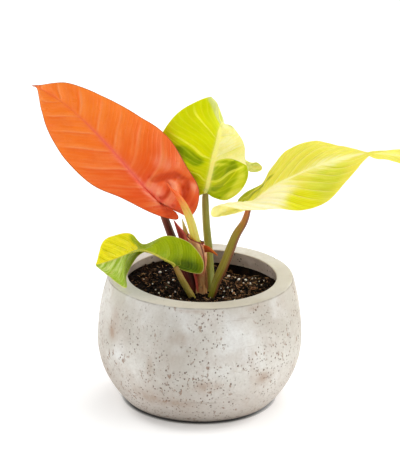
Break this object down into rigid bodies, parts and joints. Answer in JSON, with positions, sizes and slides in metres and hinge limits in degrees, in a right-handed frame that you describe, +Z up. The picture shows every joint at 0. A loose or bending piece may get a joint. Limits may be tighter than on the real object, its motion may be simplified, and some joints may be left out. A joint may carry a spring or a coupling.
{
  "type": "potted philodendron with a red leaf",
  "caption": "Young philodendron with a glossy red-orange leaf, yellow-green variegated leaves and a rolled new leaf, growing in dark soil in a rounded concrete bowl with a flat rim",
  "frame": {"origin": "centre of the bowl's flat foot, on the surface that it stands on", "axes": "+Z up along the bowl's axis, +X to the right in the front view, -Y towards the viewer"},
  "size_m": [0.348, 0.18, 0.276],
  "materials": {
    "concrete": "matte",
    "soil": "matte",
    "perlite": "matte",
    "bark": "matte",
    "stem": "satin",
    "red_stalk": "satin",
    "green_stalk": "satin",
    "bronze_stalk": "satin",
    "red_leaf": "gloss",
    "lime_leaf": "gloss",
    "yellow_leaf": "gloss",
    "green_leaf": "gloss",
    "new_leaf": "satin",
    "pink_sheath": "satin",
    "red_sheath": "satin",
    "pale_sheath": "satin",
    "dry_sheath": "matte"
  },
  "bodies": {
    "root": {"concrete_pot": "concrete", "potting_soil": "soil", "stem_and_roots": "stem", "red_leaf_petiole": "red_stalk", "centre_leaf_petiole": "green_stalk", "right_leaf_petiole": "bronze_stalk", "front_leaf_petiole": "green_stalk", "red_leaf_blade": "red_leaf", "centre_leaf_blade": "lime_leaf", "right_leaf_blade": "yellow_leaf", "front_leaf_blade": "green_leaf", "new_leaf_spear": "new_leaf", "pink_sheath": "pink_sheath", "red_sheath": "red_sheath", "pale_sheath": "pale_sheath", "dry_sheath_tip": "dry_sheath", "dry_sheath_base": "dry_sheath", "perlite_1": "perlite", "perlite_2": "perlite", "perlite_3": "perlite", "perlite_4": "perlite", "perlite_5": "perlite", "perlite_6": "perlite", "bark_chip_1": "bark", "bark_chip_2": "bark"}
  },
  "joints": []
}
